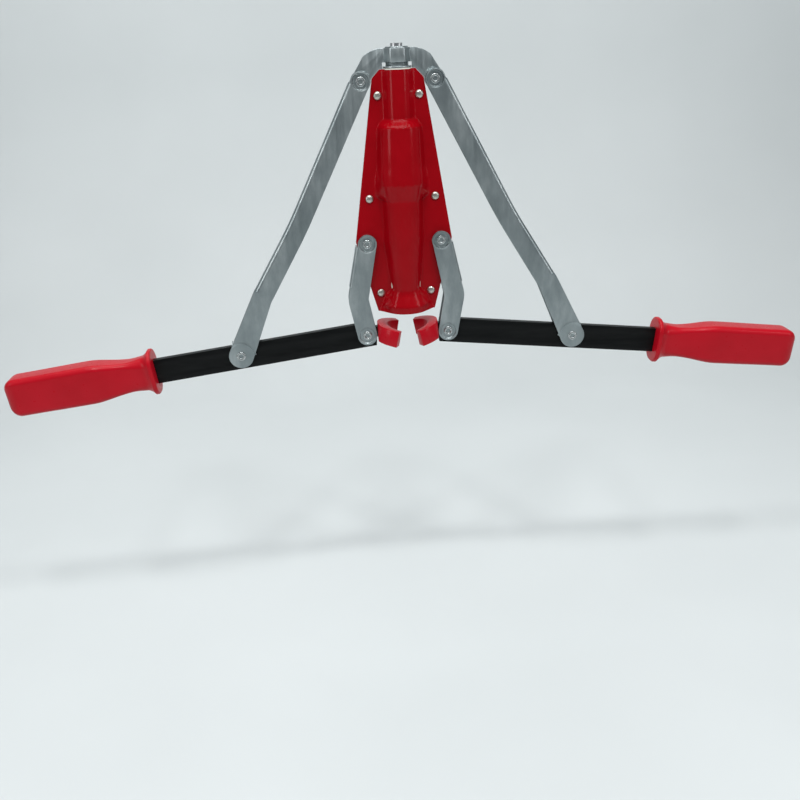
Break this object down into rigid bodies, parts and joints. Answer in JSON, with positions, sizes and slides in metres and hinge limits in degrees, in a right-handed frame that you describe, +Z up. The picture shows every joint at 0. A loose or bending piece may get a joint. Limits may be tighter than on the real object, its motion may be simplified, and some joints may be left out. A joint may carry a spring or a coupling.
{
  "type": "double lever wine corker",
  "caption": "Hand corker for wine bottles: two lever handles with neck jaws drive a plunger through a pressed red steel body that squeezes the cork into the neck.",
  "frame": {"origin": "centre of the bell mouth's rim plane, where the bottle's lip enters the body", "axes": "+Z up along the plunger, +X towards the right-hand handle, -Y towards the front, seen as pictured"},
  "size_m": [0.5744, 0.0362, 0.2357],
  "materials": {
    "red_steel": "glossy red enamel on pressed steel",
    "zinc_steel": "bright zinc plate with faint cloudy grain",
    "nickel": "satin nickel plate",
    "bright_steel": "ground bright steel",
    "black_paint": "semi-gloss black paint on flat bar",
    "red_plastic": "smooth moulded red plastic",
    "nylon": "natural nylon"
  },
  "bodies": {
    "body": {"front_shell": "red_steel", "back_shell": "red_steel", "cork_funnel": "nylon", "guide_bush": "nylon", "shell_rivets": "nickel", "body_pivot_rivets": "nickel"},
    "plunger": {"plunger_rod": "bright_steel", "stop_washer": "zinc_steel", "lock_nut": "zinc_steel", "bridge_nut": "zinc_steel", "bridge_front": "zinc_steel", "bridge_back": "zinc_steel", "bridge_pivot_rivets": "nickel"},
    "right_short_link": {"right_short_link": "zinc_steel", "right_lever_rivet": "nickel"},
    "right_lever": {"right_lever": "black_paint", "right_handle": "red_plastic", "right_jaw": "red_plastic", "right_jaw_rivet": "nickel"},
    "right_long_link": {"right_long_link": "zinc_steel", "right_link_rivet": "nickel"},
    "left_short_link": {"left_short_link": "zinc_steel", "left_lever_rivet": "nickel"},
    "left_lever": {"left_lever": "black_paint", "left_handle": "red_plastic", "left_jaw": "red_plastic", "left_jaw_rivet": "nickel"},
    "left_long_link": {"left_long_link": "zinc_steel", "left_link_rivet": "nickel"}
  },
  "joints": [
    {"name": "plunger_lift", "type": "slide", "parent": "body", "child": "plunger", "axis": [0, 0, 1], "range_m": [0, 0.0828]},
    {"name": "right_short_link_swing", "type": "hinge", "parent": "body", "child": "right_short_link", "pos_m": [0.0256, 0, 0.0482], "axis": [0, -1, 0], "range_deg": [0, 2.02]},
    {"name": "right_lever_raise", "type": "hinge", "parent": "right_short_link", "child": "right_lever", "pos_m": [0.0289, 0, -0.0171], "axis": [0, -1, 0], "range_deg": [0, 48]},
    {"name": "right_long_link_turn", "type": "hinge", "parent": "plunger", "child": "right_long_link", "pos_m": [0.0242, 0, 0.1535], "axis": [0, 1, 0], "range_deg": [0, 5.35]},
    {"name": "left_short_link_swing", "type": "hinge", "parent": "body", "child": "left_short_link", "pos_m": [-0.0256, 0, 0.0482], "axis": [0, 1, 0], "range_deg": [0, 2.02]},
    {"name": "left_lever_raise", "type": "hinge", "parent": "left_short_link", "child": "left_lever", "pos_m": [-0.0289, 0, -0.0171], "axis": [0, 1, 0], "range_deg": [0, 48]},
    {"name": "left_long_link_turn", "type": "hinge", "parent": "plunger", "child": "left_long_link", "pos_m": [-0.0242, 0, 0.1535], "axis": [0, -1, 0], "range_deg": [0, 5.35]}
  ],
  "couplings": [
    {"joint": "right_short_link_swing", "follows": "plunger_lift", "rad_per_m": 0.42495},
    {"joint": "right_lever_raise", "follows": "plunger_lift", "rad_per_m": 10.118},
    {"joint": "right_long_link_turn", "follows": "plunger_lift", "rad_per_m": 1.1281},
    {"joint": "left_short_link_swing", "follows": "plunger_lift", "rad_per_m": 0.42495},
    {"joint": "left_lever_raise", "follows": "plunger_lift", "rad_per_m": 10.118},
    {"joint": "left_long_link_turn", "follows": "plunger_lift", "rad_per_m": 1.1281}
  ]
}
